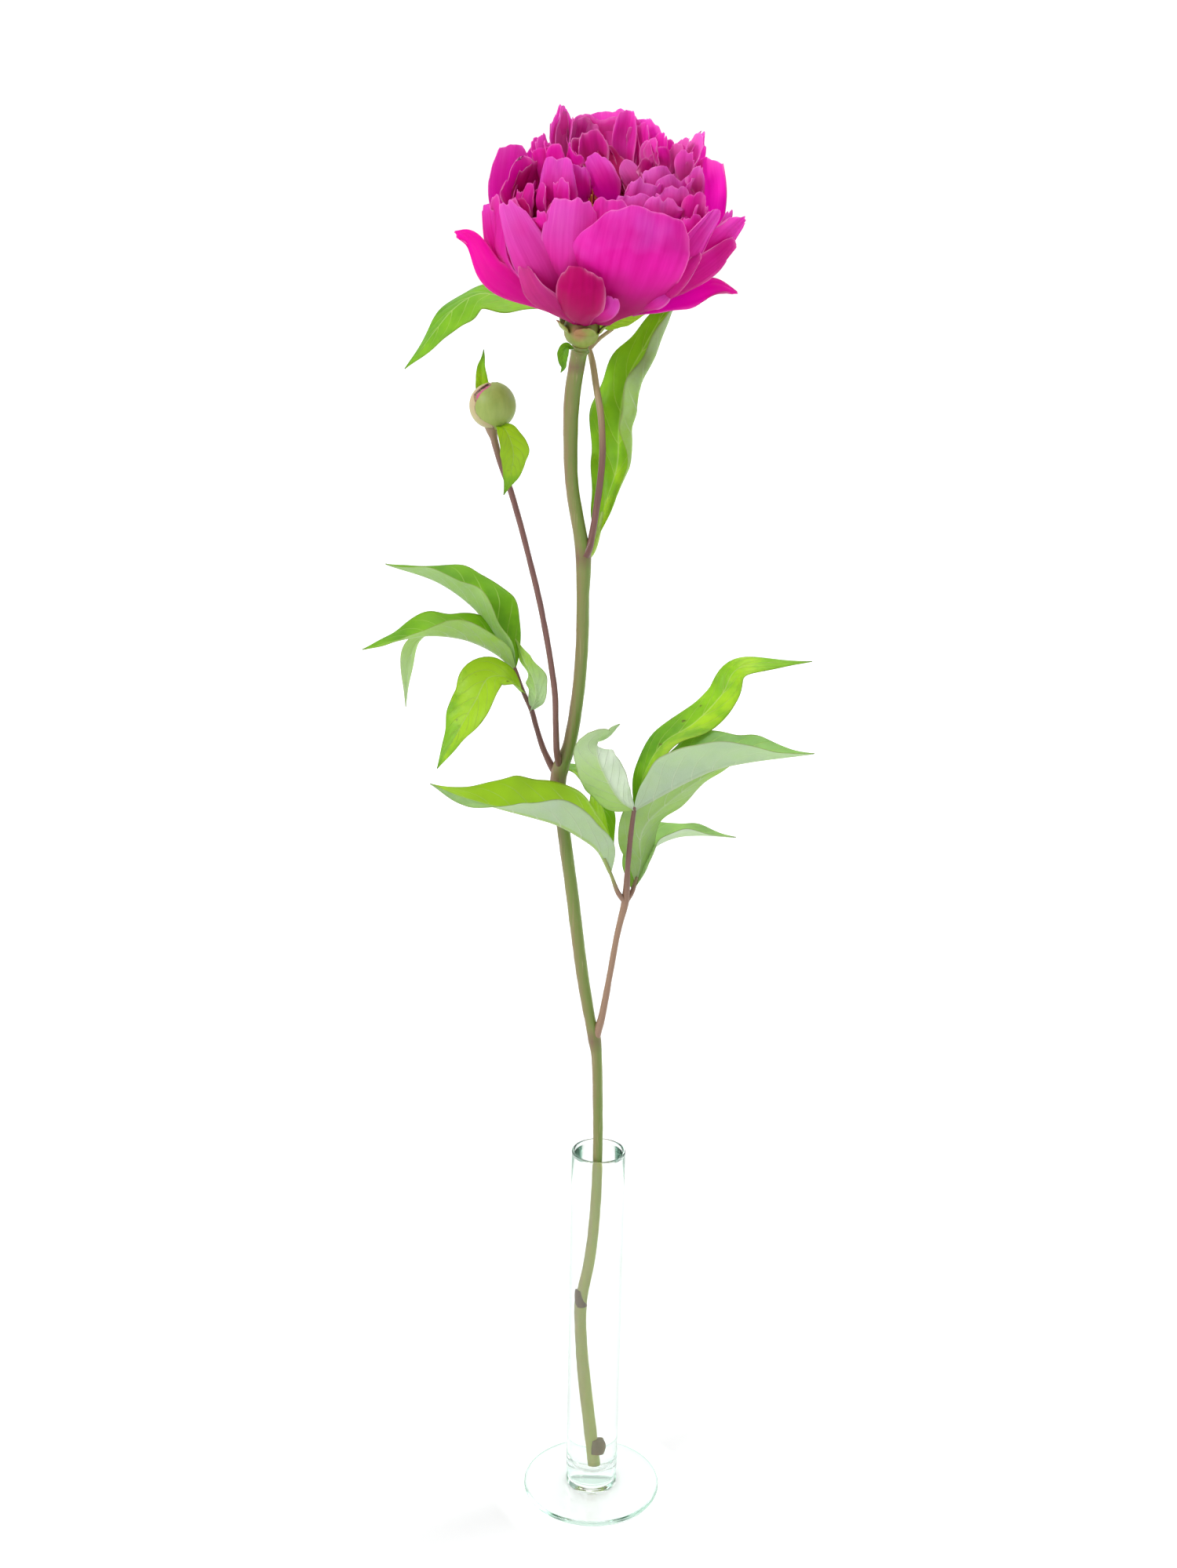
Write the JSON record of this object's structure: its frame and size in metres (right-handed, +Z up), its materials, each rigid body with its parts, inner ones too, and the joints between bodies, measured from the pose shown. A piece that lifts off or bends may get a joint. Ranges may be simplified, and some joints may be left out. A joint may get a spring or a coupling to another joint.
{
  "type": "peony in a bud vase",
  "caption": "Magenta double peony with side bud and divided leaves on a tall stem, standing in water in a slender clear glass bud vase with a round foot.",
  "frame": {"origin": "centre of the underside of the vase's foot", "axes": "+Z up along the vase's axis, -Y towards the side that the flower looks to, +X to the right of that side"},
  "size_m": [0.2139, 0.113, 0.706],
  "materials": {
    "glass": "clear, polished",
    "water": "clear water",
    "stem_green": "smooth, olive green with pinkish brown sides",
    "leaf_green": "satin leaf, pale grey-green beneath",
    "side_stem": "smooth, purple brown",
    "bud_green": "smooth sepals with magenta and brown edges",
    "calyx_green": "smooth, green with brown blotches",
    "petal_magenta": "silky translucent petal",
    "stamen_yellow": "matt"
  },
  "bodies": {
    "root": {"glass_vase": "glass", "water": "water", "main_stem": "stem_green", "left_leaf": "leaf_green", "right_leaf": "leaf_green", "node_leaf": "leaf_green", "upper_right_leaf": "leaf_green", "back_leaf": "leaf_green", "bud_stem": "side_stem", "side_bud": "bud_green", "calyx": "calyx_green", "bloom": "petal_magenta", "stamens": "stamen_yellow"}
  },
  "joints": []
}
